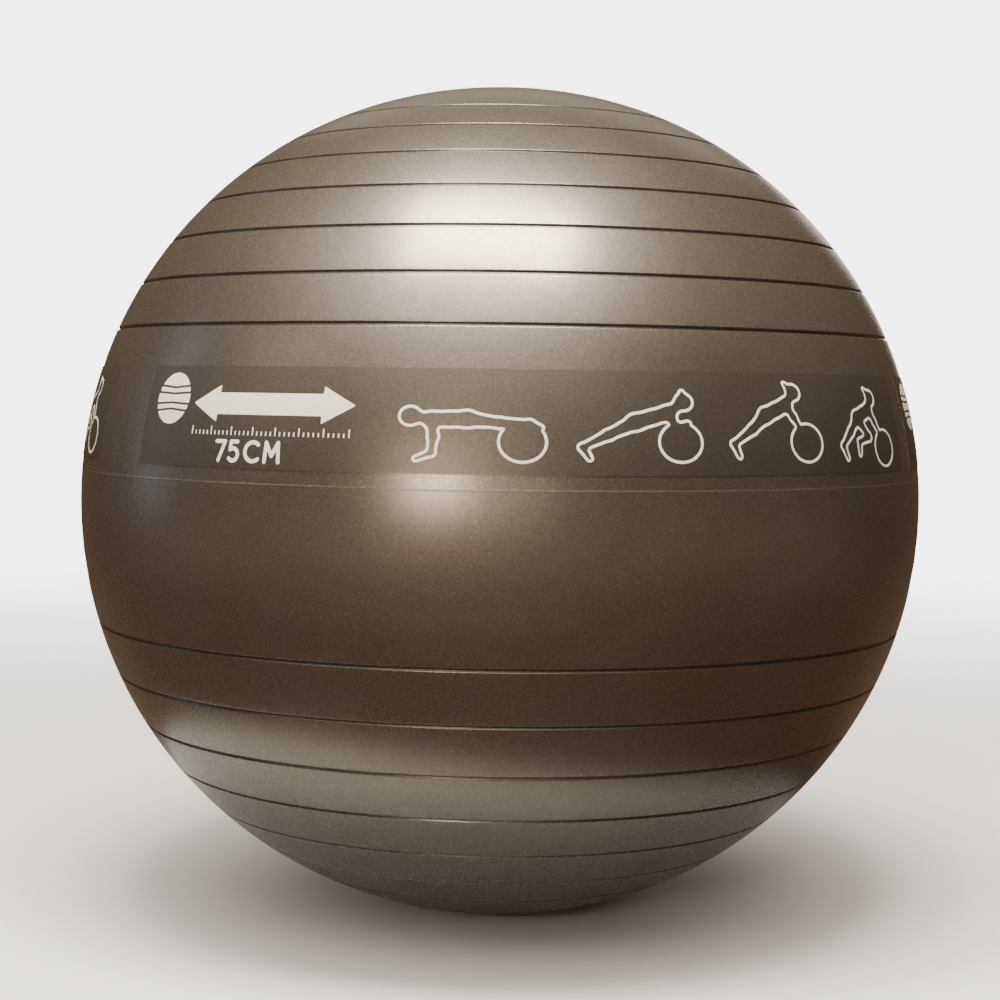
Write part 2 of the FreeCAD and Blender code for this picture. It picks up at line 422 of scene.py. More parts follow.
@dataclass
class Wardrobe:
    """Makes each finish's material once and puts finished meshes into the scene."""

    grain: Tree = field(default_factory=Grain().group)
    made: dict[str, bpy.types.Material] = field(default_factory=dict)

    def material(self, finish: Finish) -> bpy.types.Material:
        """Find a finish's material, and make it the first time that it is asked for.

        Args:
            finish: The finish.

        Returns:
            Its material.
        """
        if finish.name not in self.made:
            self.made[finish.name] = finish.material(self.grain)
        return self.made[finish.name]

    def place(
        self, name: str, mesh: Mesh, finish: Finish, body: Body, *nodes: str, sharp: float = 35.0
    ) -> None:
        """Put a mesh in the scene as a piece of the ball.

        Args:
            name: The piece's name.
            mesh: Its mesh, already in place.
            finish: What it is finished in.
            body: The body it rides on.
            *nodes: The CAD nodes that it stands for.
            sharp: Edges that turn by more than this many degrees are shaded sharp.
        """
        mesh.name = name
        mesh.materials.clear()
        mesh.materials.append(self.material(finish))
        mesh.shade_smooth()
        mesh.set_sharp_from_angle(angle=math.radians(sharp))
        piece = bpy.data.objects.new(name, mesh)
        bpy.context.scene.collection.objects.link(piece)
        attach(piece, body.value)
        if nodes:
            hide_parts(*nodes)
        LOG.info("%s: %d vertices, %s, on %s", name, len(mesh.vertices), finish.name, body.value)


# ---- The crown and the skin --------------------------------------------------------------------


@dataclass(frozen=True)
class Crown:
    """The ball's outer surface: one arc turned about the vertical axis, flat where it rests."""

    equator_radius: float = 0.375
    arc_radius: float = 0.369
    patch_radius: float = 0.035
    slack: float = 0.5 * MM

    @property
    def axis_offset(self) -> float:
        """How far the arc's centre stands off the vertical axis."""
        return self.equator_radius - self.arc_radius

    @property
    def centre_height(self) -> float:
        """The height of the widest section above the floor."""
        return math.sqrt(self.arc_radius**2 - (self.patch_radius - self.axis_offset) ** 2)

    @property
    def centre(self) -> Vector:
        """The middle of the widest section."""
        return Vector((0, 0, self.centre_height))

    def check(self) -> None:
        """Stop if the crown isn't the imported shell's own size."""
        low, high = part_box("ball_shell")
        top = self.centre_height + self.arc_radius
        if max(abs(high.z - top), abs(high.x - self.equator_radius), abs(low.z)) > self.slack:
            raise ValueError(
                f"the crown is {self.equator_radius} by {top} m, and the shell's box is {low} to {high}"
            )

    def behind(self, across: float, up: float, depth: float = 0.0) -> Vector:
        """Find the point of the back that lies at a distance across and above the valve's axis.

        Args:
            across: The distance from the axis along X.
            up: The distance from the axis along Z.
            depth: How far under the outer surface the point lies.

        Returns:
            The point, on the +Y side.
        """
        reach = self.axis_offset + math.sqrt((self.arc_radius - depth) ** 2 - up**2)
        return Vector((across, math.sqrt(reach**2 - across**2), self.centre_height + up))

    def wired_point(
        self, wiring: Wiring, radius: object, latitude: object, longitude: object, floor: float | None = None
    ) -> Socket:
        """Wire up the point at a latitude and longitude.

        Args:
            wiring: The tree to add to.
            radius: The distance from the arc's centre.
            latitude: The latitude.
            longitude: The longitude.
            floor: The lowest height that a point may have, if there is one.

        Returns:
            The point's vector socket.
        """
        reach = wiring.maths("MULTIPLY_ADD", wiring.maths("COSINE", latitude), radius, self.axis_offset)
        height = wiring.maths("MULTIPLY_ADD", wiring.maths("SINE", latitude), radius, self.centre_height)
        if floor is not None:
            height = wiring.maths("MAXIMUM", height, floor)
        across = wiring.maths("MULTIPLY", reach, wiring.maths("SINE", longitude))
        ahead = wiring.maths("MULTIPLY", reach, wiring.maths("COSINE", longitude))
        return wiring.vector(across, wiring.maths("MULTIPLY", ahead, -1.0), height)


@dataclass(frozen=True)
class Zone:
    """A stack of rings, or one plain band where the depth is zero.

    Angles are in degrees and lengths in metres. The share is the part of a band's rows that fall inside its
    ring's width. A crowding above one keeps the first rows outside a ring close to it, so that the ring's lips
    don't shade the plain part.
    """

    first: float
    pitch: float
    rows: int
    rings: int = 1
    depth: float = 0.0
    half_width: float = 0.1 * MM
    share: float = 0.02
    crowding: float = 1.0


def plain_band(low: float, high: float, rows: int) -> Zone:
    """Describe a plain band between two latitudes in degrees."""
    return Zone(first=(low + high) / 2, pitch=high - low, rows=rows)


def pairs(loop: Sequence[object]) -> Iterable[tuple[object, object]]:
    """Pair each member of a closed loop with the next one."""
    return zip(loop, [*loop[1:], loop[0]])


def face_towards(face: bmesh.types.BMFace, way: Vector) -> None:
    """Make a face look a given way.

    Args:
        face: The face.
        way: The direction that it should look in, roughly.
    """
    face.normal_update()
    if face.normal.dot(way) < 0:
        face.normal_flip()


@dataclass
class BallSkin:
    """The hollow skin: outer and inner walls, joined round the valve's hole. Angles are in degrees."""

    crown: Crown
    wall: float = 1.0 * MM
    ring_count: int = 7
    upper_start: float = 23.9
    upper_pitch: float = 6.94
    lower_start: float = -16.7
    lower_pitch: float = 7.5
    ring_depth: float = 1.4 * MM
    ring_half_width: float = 1.9 * MM
    ring_rows: int = 18
    ring_share: float = 0.6
    groove_floor: float = 0.3
    # How far the painted groove shade spreads from a groove's floor onto its lips.
    shade_power: float = 0.45
    crowding: float = 2.4
    seam_latitude: float = 4.35
    seam_rise: float = -0.09 * MM
    seam_half_width: float = 0.7 * MM
    seam_rows: int = 22
    seam_share: float = 0.35
    foot_rows: int = 14
    middle_rows: int = 2
    top_rows: int = 12
    columns: int = 256
    inner_column_cut: int = 2
    inner_row_cut: int = 3
    hole_radius: float = 14.0 * MM
    hole_points: int = 64
    hole_lip: float = 0.5 * MM
    window_radius: float = 27.0 * MM
    collar_radii: tuple[float, ...] = (17.4 * MM, 15.6 * MM, 14.6 * MM)
    weld: float = 0.01 * MM
    sharp: float = 80.0

    def zones(self, wall: Wall) -> list[Zone]:
        """List the zones of one wall from the floor to the top.

        Args:
            wall: Which wall. The inner one has a wider ridge behind each ring and fewer rows.

        Returns:
            The zones, whose edges meet.
        """
        inner = wall is Wall.INNER
        stack = {
            "rings": self.ring_count,
            "rows": self.ring_rows // self.inner_row_cut if inner else self.ring_rows,
            "depth": self.ring_depth,
            "half_width": self.ring_half_width + (self.wall if inner else 0.0),
            "share": self.ring_share,
            "crowding": self.crowding,
        }
        seam = {
            "rows": self.seam_rows,
            "depth": 0.0 if inner else self.seam_rise,
            "half_width": self.seam_half_width,
            "share": self.seam_share,
            "crowding": self.crowding,
        }
        lowest = self.lower_start - (self.ring_count - 1) * self.lower_pitch
        low_edge = self.lower_start + self.lower_pitch / 2
        high_edge = self.upper_start - self.upper_pitch / 2
        seam_pitch = 2 * (high_edge - self.seam_latitude)
        top = self.upper_start + (self.ring_count - 0.5) * self.upper_pitch
        return [
            plain_band(-90.0, lowest - self.lower_pitch / 2, self.foot_rows),
            Zone(lowest, self.lower_pitch, **stack),
            plain_band(low_edge, high_edge - seam_pitch, self.middle_rows),
            Zone(self.seam_latitude, seam_pitch, **seam),
            Zone(self.upper_start, self.upper_pitch, **stack),
            plain_band(top, 90.0, self.top_rows),
        ]

    def zone_tree(self, inset: float) -> Tree:
        """Build the tree that makes a zone of one wall: a stack of bands, each with a ring along its middle.

        Args:
            inset: How far under the outer surface the wall lies, and so the height of its flat above the floor.

        Returns:
            The tree. It marks the rings in the attribute "seam", a mask for painted shade in the grooves, and
            below zero where they stand proud, for a painted highlight there.
        """
        arc_radius = self.crown.arc_radius
        wiring = GeometryWiring("skin zone")
        first, pitch = wiring.take("First Ring"), wiring.take("Pitch")
        rings, rows, columns = (wiring.take(name, "NodeSocketInt") for name in ("Rings", "Rows", "Columns"))
        names = ("Ring Depth", "Ring Half Width", "Ring Share", "Crowding")
        depth, half_width, share, crowding = (wiring.take(name) for name in names)

        counts = wiring.maths("ADD", columns, 1.0), wiring.maths("MULTIPLY_ADD", rings, rows, 1.0)
        flat = wiring.parts(wiring.out("GeometryNodeInputPosition"))
        longitude = wiring.maths("MULTIPLY", flat[0], math.tau)
        climb = wiring.maths("MULTIPLY", wiring.maths("ADD", flat[1], 0.5), rings)
        band = wiring.maths("FLOOR", climb)
        swing = wiring.maths("MULTIPLY_ADD", wiring.maths("SUBTRACT", climb, band), 2.0, -1.0)
        away = wiring.maths("ABSOLUTE", swing)
        half_pitch = wiring.maths("MULTIPLY", pitch, 0.5 * arc_radius)
        inside = wiring.remap(away, (0.0, share), (0.0, half_width))
        spaced = wiring.maths("POWER", wiring.remap(away, (share, 1.0), (0.0, 1.0)), crowding)
        outside = wiring.maths("MULTIPLY", spaced, wiring.maths("SUBTRACT", half_pitch, half_width))
        distance = wiring.maths("ADD", inside, outside)
        signed = wiring.maths("MULTIPLY", distance, wiring.maths("SIGN", swing))
        middle = wiring.maths("MULTIPLY_ADD", band, pitch, first)
        latitude = wiring.maths("ADD", middle, wiring.maths("DIVIDE", signed, arc_radius))

        edge = wiring.maths("MULTIPLY", half_width, self.groove_floor)
        dip = wiring.remap(distance, (edge, half_width), (1.0, 0.0), "SMOOTHERSTEP")
        radius = wiring.maths("SUBTRACT", arc_radius - inset, wiring.maths("MULTIPLY", dip, depth))
        # The "seam" mark is where colour is painted darker as shade in the grooves and on their lips, and lighter
        # as a highlight on the raised parting line.
        shade = wiring.maths("POWER", dip, self.shade_power)
        mark = {
            "Geometry": wiring.grid((1.0, 1.0), counts),
            "Name": "seam",
            "Value": wiring.maths("MULTIPLY", shade, wiring.maths("SIGN", depth)),
        }
        marked = wiring.out("GeometryNodeStoreNamedAttribute", mark, data_type="FLOAT", domain="POINT")
        place = self.crown.wired_point(wiring, radius, latitude, longitude, inset)
        return wiring.dress(wiring.move(marked, Position=place))

    def add_wall(self, shell: BMesh, wall: Wall) -> list[int]:
        """Add one wall to the shell, closed at both poles and open at the valve.

        Args:
            shell: The mesh to add to.
            wall: Which wall.

        Returns:
            The numbers of the vertices round the valve's hole.
        """
        inner = wall is Wall.INNER
        inset = self.wall if inner else 0.0
        tree = self.zone_tree(inset)
        side = bmesh.new()
        for zone in self.zones(wall):
            values = {
                "First Ring": math.radians(zone.first),
                "Pitch": math.radians(zone.pitch),
                "Rings": zone.rings,
                "Rows": zone.rows,
                "Columns": self.columns // self.inner_column_cut if inner else self.columns,
                "Ring Depth": zone.depth,
                "Ring Half Width": zone.half_width,
                "Ring Share": zone.share,
                "Crowding": zone.crowding,
            }
            side.from_mesh(grow(tree, values))
        bmesh.ops.remove_doubles(side, verts=side.verts, dist=self.weld)
        self.close_poles(side)
        rim = self.open_hole(side, inset)
        if inner:
            bmesh.ops.reverse_faces(side, faces=side.faces)
        mesh = bpy.data.meshes.new("wall")
        side.to_mesh(mesh)
        numbers = [len(shell.verts) + vertex.index for vertex in rim]
        shell.from_mesh(mesh)
        side.free()
        return numbers

    def close_poles(self, side: BMesh) -> None:
        """Close the small round openings on the axis with a fan each.

        Args:
            side: The wall.
        """
        open_edges = [edge for edge in side.edges if edge.is_boundary]
        for high, way in ((False, Vector((0, 0, -1))), (True, Vector((0, 0, 1)))):
            ring = [edge for edge in open_edges if (edge.verts[0].co.z > self.crown.centre_height) is high]
            middle = side.verts.new((0, 0, ring[0].verts[0].co.z))
            for edge in ring:
                face_towards(side.faces.new((*edge.verts, middle)), way)

    def open_hole(self, side: BMesh, inset: float) -> Loop:
        """Cut the valve's round hole in one wall.

        A window of the grid is taken out round the valve, and rings of points lead from its edge to the hole.

        Args:
            side: The wall.
            inset: How far under the outer surface it lies.

        Returns:
            The loop of vertices round the hole.
        """
        target = self.crown.behind(0, 0, inset)
        near = [face for face in side.faces if (face.calc_center_median() - target).length < self.window_radius]
        bmesh.ops.delete(side, geom=near, context="FACES")
        window = [edge for edge in side.edges if edge.is_boundary]
        angles = [math.tau * step / self.hole_points for step in range(self.hole_points)]
        loops: list[Loop] = []
        for radius in (*self.collar_radii, self.hole_radius):
            sink = self.hole_lip if radius == self.hole_radius and not inset else 0.0
            points = [self.crown.behind(radius * math.cos(a), radius * math.sin(a), inset) for a in angles]
            loops.append([side.verts.new(point - BACK * sink) for point in points])
        for outer, inner in zip(loops, loops[1:]):
            for (a, b), (c, d) in zip(pairs(outer), pairs(inner)):
                face_towards(side.faces.new((a, b, d, c)), BACK)
        ring = [side.edges.get((a, b)) or side.edges.new((a, b)) for a, b in pairs(loops[0])]
        for face in bmesh.ops.bridge_loops(side, edges=window + ring)["faces"]:
            face_towards(face, BACK)
        side.verts.index_update()
        return loops[-1]

    def build(self, wardrobe: Wardrobe) -> None:
        """Make the skin.

        Args:
            wardrobe: Dresses and places it.
        """
        shell = bmesh.new()
        rims = [self.add_wall(shell, wall) for wall in Wall]
        shell.verts.ensure_lookup_table()
        outer, inner = ([shell.verts[number] for number in rim] for rim in rims)
        for (a, b), (c, d) in zip(pairs(outer), pairs(inner)):
            face = shell.faces.new((a, c, d, b))
            face_towards(face, self.crown.behind(0, 0) - face.calc_center_median())
        mesh = bpy.data.meshes.new("skin")
        shell.to_mesh(mesh)
        shell.free()
        wardrobe.place("skin", mesh, SKIN_VINYL, Body.BALL, "ball_shell", sharp=self.sharp)


# ---- Flat artwork: distance fields in millimetres, cut out as meshes ----------------------------


def disc(centre: Point, radius: float) -> Field:
    """Make the field of a disc: its value is the signed distance to the rim, below zero inside."""
    return lambda x, y: np.hypot(x - centre[0], y - centre[1]) - radius


def limb(start: Point, end: Point, start_radius: float, end_radius: float) -> Field:
    """Make the field of a rounded bar that tapers from one end to the other.

    Args:
        start: The first end.
        end: The second end.
        start_radius: The radius at the first end.
        end_radius: The radius at the second end.

    Returns:
        The field.
    """
    run = (end[0] - start[0], end[1] - start[1])
    square = run[0] ** 2 + run[1] ** 2

    def distance(x: np.ndarray, y: np.ndarray) -> np.ndarray:
        """Measure to the bar's surface."""
        along = np.clip(((x - start[0]) * run[0] + (y - start[1]) * run[1]) / square, 0.0, 1.0)
        away = np.hypot(x - start[0] - along * run[0], y - start[1] - along * run[1])
        return away - (start_radius + along * (end_radius - start_radius))

    return distance


def polygon(corners: Sequence[Point]) -> Field:
    """Make the field of a convex shape.

    Args:
        corners: Its corners, anticlockwise.

    Returns:
        The field.
    """
    sides = []
    for (ax, ay), (bx, by) in pairs(corners):
        length = math.hypot(bx - ax, by - ay)
        sides.append((ax, ay, (by - ay) / length, (ax - bx) / length))
    return lambda x, y: np.max([(x - ax) * nx + (y - ay) * ny for ax, ay, nx, ny in sides], axis=0)


def union(fields: Sequence[Field], blend: float = 0.0) -> Field:
    """Join shapes.

    Args:
        fields: The shapes.
        blend: About the size of the fillets where they meet.

    Returns:
        The field of all of them.
    """

    def distance(x: np.ndarray, y: np.ndarray) -> np.ndarray:
        """Measure to the joined shapes."""
        total = fields[0](x, y)
        for shape in fields[1:]:
            other = shape(x, y)
            overlap = np.maximum(blend - np.abs(total - other), 0.0)
            total = np.minimum(total, other) - overlap**2 / (4 * blend or 1.0)
        return total

    return distance


def without(body: Field, tool: Field) -> Field:
    """Cut one shape out of another."""
    return lambda x, y: np.maximum(body(x, y), -tool(x, y))


def stroke(points: Sequence[Point], width: float) -> Field:
    """Make the field of a line of the given width through points."""
    return union([limb(a, b, width / 2, width / 2) for a, b in zip(points, points[1:])])


def arc(centre: Point, radius: float, start: float, end: float, steps: int = 14) -> list[Point]:
    """List points on an arc between two angles in degrees."""
    angles = [math.radians(start + (end - start) * step / steps) for step in range(steps + 1)]
    return [(centre[0] + radius * math.cos(a), centre[1] + radius * math.sin(a)) for a in angles]


def cut_out(shape: Field, low: Point, high: Point, step: float) -> Mesh:
    """Cut a flat mesh to a field's outline.

    Every square of a grid is clipped to the part where the field is below zero, so that the mesh has small
    even faces that can bend round the crown.

    Args:
        shape: The field, in millimetres.
        low: The lower left corner to start from.
        high: The upper right corner.
        step: The size of a square.

    Returns:
        The flat mesh, in metres.
    """
    xs = np.arange(low[0], high[0] + step, step)
    ys = np.arange(low[1], high[1] + step, step)
    value = shape(*np.meshgrid(xs, ys, indexing="ij"))
    inside = value < 0
    numbers: dict[tuple[int, ...], int] = {}
    points: list[Triple] = []
    faces: list[list[int]] = []

    def number(key: tuple[int, ...], x: float, y: float) -> int:
        """Give a point its number, the same each time that its key comes back."""
        if key not in numbers:
            numbers[key] = len(points)
            points.append((x * MM, y * MM, 0.0))
        return numbers[key]

    touched = inside[:-1, :-1] | inside[1:, :-1] | inside[1:, 1:] | inside[:-1, 1:]
    for i, j in np.argwhere(touched):
        face = []
        for a, b in pairs(((i, j), (i + 1, j), (i + 1, j + 1), (i, j + 1))):
            if inside[a]:
                face.append(number((*a, 0), xs[a[0]], ys[a[1]]))
            if inside[a] != inside[b]:
                share = value[a] / (value[a] - value[b])
                x = xs[a[0]] + share * (xs[b[0]] - xs[a[0]])
                y = ys[a[1]] + share * (ys[b[1]] - ys[a[1]])
                face.append(number((*min(a, b), 1 if a[1] == b[1] else 2), x, y))
        faces.append(face)
    mesh = bpy.data.meshes.new("cut_out")
    mesh.from_pydata(points, [], faces)
    return mesh


def merged(meshes: Sequence[Mesh]) -> Mesh:
    """Put several meshes together.

    Args:
        meshes: The meshes.

    Returns:
        One mesh of all of them.
    """
    both = bmesh.new()
    for mesh in meshes:
        both.from_mesh(mesh)
    result = bpy.data.meshes.new("merged")
    both.to_mesh(result)
    both.free()
    return result


def upright(mesh: Mesh) -> Mesh:
    """Turn every closed shell of a mesh right side out.

    Args:
        mesh: The mesh to change.

    Returns:
        The same mesh.
    """
    work = bmesh.new()
    work.from_mesh(mesh)
    bmesh.ops.recalc_face_normals(work, faces=work.faces)
    work.to_mesh(mesh)
    work.free()
    return mesh


class Press:
    """Prints on the crown. Its trees give flat artwork its thickness and bend it round the ball."""

    PLACE = ("Start Longitude", "Base Latitude", "Middle Latitude", "Lift")
    WELD = 0.002 * MM

    def __init__(self, crown: Crown) -> None:
        """Build the tree that bends artwork round the crown.

        Flat x runs along a circle of latitude at its true length halfway up the artwork, flat y runs along
        the arc, and flat z is the height above the surface.

        Args:
            crown: The surface to bend it to.
        """
        wiring = GeometryWiring("wrap on crown")
        geometry = wiring.take("Geometry", "NodeSocketGeometry")
        start, base, middle, lift = (wiring.take(name) for name in self.PLACE)
        flat = wiring.parts(wiring.out("GeometryNodeInputPosition"))
        girth = wiring.maths("MULTIPLY_ADD", wiring.maths("COSINE", middle), crown.arc_radius, crown.axis_offset)
        longitude = wiring.maths("ADD", start, wiring.maths("DIVIDE", flat[0], girth))
        latitude = wiring.maths("ADD", base, wiring.maths("DIVIDE", flat[1], crown.arc_radius))
        radius = wiring.maths("ADD", wiring.maths("ADD", flat[2], lift), crown.arc_radius)
        bent = wiring.move(geometry, Position=crown.wired_point(wiring, radius, latitude, longitude))
        wiring.give("Geometry", "NodeSocketGeometry", bent)
        self.wrap = wiring.tree

    def bend(self, wiring: GeometryWiring, geometry: Socket) -> Tree:
        """End a print's tree by bending it round the crown, with its place as inputs, and dressing it."""
        feeds = {"Geometry": geometry, **{name: wiring.take(name) for name in self.PLACE}}
        return wiring.dress(wiring.out("GeometryNodeGroup", feeds, node_tree=self.wrap))

    def push(self, wiring: GeometryWiring, flat: Socket) -> Tree:
        """End a print's tree by giving flat artwork its thickness, closing it and bending it.

        Args:
            wiring: The tree.
            flat: The artwork.

        Returns:
            The finished tree.
        """
        offset = wiring.vector(z=wiring.take("Thickness"))
        raised = wiring.out("GeometryNodeExtrudeMesh", {"Mesh": flat, "Offset": offset, "Individual": False})
        both = wiring.join(wiring.out("GeometryNodeFlipFaces", {0: flat}), raised)
        return self.bend(wiring, wiring.out("GeometryNodeMergeByDistance", {0: both, "Distance": self.WELD}))

    def film(self) -> Tree:
        """Build the tree that lays down a thin rectangular film.

        Returns:
            The tree.
        """
        wiring = GeometryWiring("print film")
        size = wiring.take("Width"), wiring.take("Height")
        cell = wiring.take("Cell")
        counts = [wiring.maths("CEIL", wiring.maths("DIVIDE", side, cell)) for side in size]
        half = wiring.vector(*(wiring.maths("MULTIPLY", side, 0.5) for side in size))
        return self.push(wiring, wiring.move(wiring.grid(size, counts), Offset=half))

    def solid_ink(self) -> Tree:
        """Build the tree that prints a flat mesh as solid ink."""
        wiring = GeometryWiring("solid ink")
        return self.push(wiring, wiring.take("Geometry", "NodeSocketGeometry"))

    def line_ink(self) -> Tree:
        """Build the tree that prints only the outline of a flat mesh, as a line of ink.

        Returns:
            The tree.
        """
        wiring = GeometryWiring("line ink")
        flat = wiring.take("Geometry", "NodeSocketGeometry")
        width, thickness, spacing = (wiring.take(name) for name in ("Line Width", "Thickness", "Spacing"))
        rim = wiring.maths("COMPARE", wiring.out("GeometryNodeInputMeshEdgeNeighbors"), 1.0, 0.1)
        curve = wiring.out("GeometryNodeMeshToCurve", {0: flat, "Selection": rim})
        even = wiring.out("GeometryNodeResampleCurve", {"Curve": curve, "Length": spacing}, mode="LENGTH")
        level = wiring.out("GeometryNodeSetCurveNormal", {0: even}, mode="Z_UP")
        section = wiring.out(
            "GeometryNodeCurvePrimitiveQuadrilateral", {"Width": width, "Height": thickness}, mode="RECTANGLE"
        )
        bead = wiring.out("GeometryNodeCurveToMesh", {"Curve": level, "Profile Curve": section})
        rise = wiring.vector(z=wiring.maths("MULTIPLY", thickness, 0.5))
        return self.bend(wiring, wiring.move(bead, Offset=rise))

    def tick_ink(self) -> Tree:
        """Build the tree that prints a row of ruler ticks, every fifth one longer.

        Returns:
            The tree.
        """
        wiring = GeometryWiring("tick ink")
        pitch, length, width = (wiring.take(name) for name in ("Pitch", "Length", "Width"))
        line = {
            "Count": wiring.take("Count", "NodeSocketInt"),
            "Start Location": wiring.take("Corner", "NodeSocketVector"),
            "Offset": wiring.vector(pitch),
        }
        rise = wiring.vector(y=wiring.maths("MULTIPLY", length, 0.5))
        turn = wiring.maths("MODULO", wiring.out("GeometryNodeInputIndex"), 5.0)
        long = wiring.maths("ADD", wiring.maths("COMPARE", turn, 0.0, 0.1), 1.0)
        row = {
            "Points": wiring.out("GeometryNodeMeshLine", line),
            "Instance": wiring.move(wiring.grid((width, length), (2, 3)), Offset=rise),
            "Scale": wiring.vector(1.0, long, 1.0),
        }
        ticks = wiring.out("GeometryNodeInstanceOnPoints", row)
        return self.push(wiring, wiring.out("GeometryNodeRealizeInstances", {0: ticks}))


# ---- What is printed ---------------------------------------------------------------------------


@dataclass(frozen=True)
class Leg:
    """One leg from knee to toe, in millimetres from the figure's ball."""

    knee: Point
    ankle: Point
    toe: Point


@dataclass(frozen=True)
class Figure:
    """A plain outline figure on a ball, with no face.

    The place is the ball's centre on the film. The other points are in millimetres from that centre, as drawn
    before the ball is blown up, which stretches the print sideways. A limb has a radius at each end.
    """

    place: Point
    head: Point
    shoulder: Point
    elbow: Point
    hand: Point
    hip: Point
    legs: tuple[Leg, ...]
    fingers: Point | None = None
    hair: Point | None = None
    ball_radius: float = 14.9
    head_radius: float = 6.6
    neck: Point = (3.4, 4.6)
    chest: float = 6.1
    waist: float = 5.5
    seat: float = 6.5
    upper_arm: Point = (4.0, 3.1)
    forearm: Point = (3.1, 2.3)
    finger: Point = (2.3, 1.9)
    bun: Point = (4.4, 1.6)
    thigh: Point = (5.7, 3.6)
    calf: Point = (4.0, 2.3)
    foot: Point = (2.7, 1.8)
    fillet: float = 2.2
    ball_fillet: float = 0.5
    low: Point = (-88, -22)
    high: Point = (24, 58)
    step: float = 0.7

    def shape(self) -> Field:
        """Join the ball and the body.

        Returns:
            The field of the whole figure.
        """
        middle = ((self.shoulder[0] + self.hip[0]) / 2, (self.shoulder[1] + self.hip[1]) / 2)
        parts = [
            disc(self.head, self.head_radius),
            limb(self.head, self.shoulder, *self.neck),
            limb(self.shoulder, middle, self.chest, self.waist),
            limb(middle, self.hip, self.waist, self.seat),
            limb(self.shoulder, self.elbow, *self.upper_arm),
            limb(self.elbow, self.hand, *self.forearm),
        ]
        if self.fingers:
            parts.append(limb(self.hand, self.fingers, *self.finger))
        if self.hair:
            parts.append(limb(self.head, self.hair, *self.bun))
        for leg in self.legs:
            parts.append(limb(self.hip, leg.knee, *self.thigh))
            parts.append(limb(leg.knee, leg.ankle, *self.calf))
            parts.append(limb(leg.ankle, leg.toe, *self.foot))
        return union([union(parts, self.fillet), disc((0, 0), self.ball_radius)], self.ball_fillet)

    def flat(self, stretch: float) -> Mesh:
        """Cut the figure out and lay it in its place on the film.

        Args:
            stretch: How much wider the print is than it was drawn.

        Returns:
            The flat mesh.
        """
        mesh = cut_out(self.shape(), self.low, self.high, self.step)
        place = Matrix.Translation((self.place[0] * MM, self.place[1] * MM, 0))
        mesh.transform(place @ Matrix.Diagonal((stretch, 1, 1, 1)))
        return mesh


FIGURES = (
    Figure(
        place=(336.9, 24.5), head=(-70.5, 18.2), head_radius=7.2, shoulder=(-57.0, 15.8),
        elbow=(-55.5, 3.0), hand=(-56.5, -9.0), fingers=(-66.0, -13.4), hip=(-34.5, 16.4),
        legs=(Leg((-14.0, 13.8), (4.5, 13.9), (11.5, 10.6)),),
    ),
    Figure(
        place=(456.6, 25.1), head=(3.6, 30.4), hair=(3.0, 38.2), shoulder=(-8.0, 22.0),
        elbow=(-2.5, 11.0), hand=(5.5, 14.0), hip=(-30.0, 14.9),
        legs=(Leg((-48.0, 5.4), (-65.0, -4.0), (-60.5, -12.4)),),
    ),
    Figure(
        place=(575.1, 24.5), head=(-7.4, 39.4), hair=(-14.5, 46.4), shoulder=(-16.2, 29.6),
        elbow=(-10.4, 20.0), hand=(-6.2, 12.5), hip=(-34.8, 21.4),
        legs=(Leg((-47.0, 10.6), (-62.5, -0.4), (-58.8, -10.2)),),
    ),
    Figure(
        place=(687.1, 19.3), head=(-11.0, 41.0), hair=(-18.0, 48.2), shoulder=(-17.6, 31.4),
        elbow=(-11.0, 21.0), hand=(-6.2, 12.5), hip=(-36.0, 24.6), thigh=(5.1, 3.0),
        legs=(
            Leg((-46.5, 13.4), (-57.5, 2.6), (-53.4, -7.6)),
            Leg((-23.0, 9.4), (-36.5, 5.4), (-37.5, -4.6)),
        ),
    ),
)


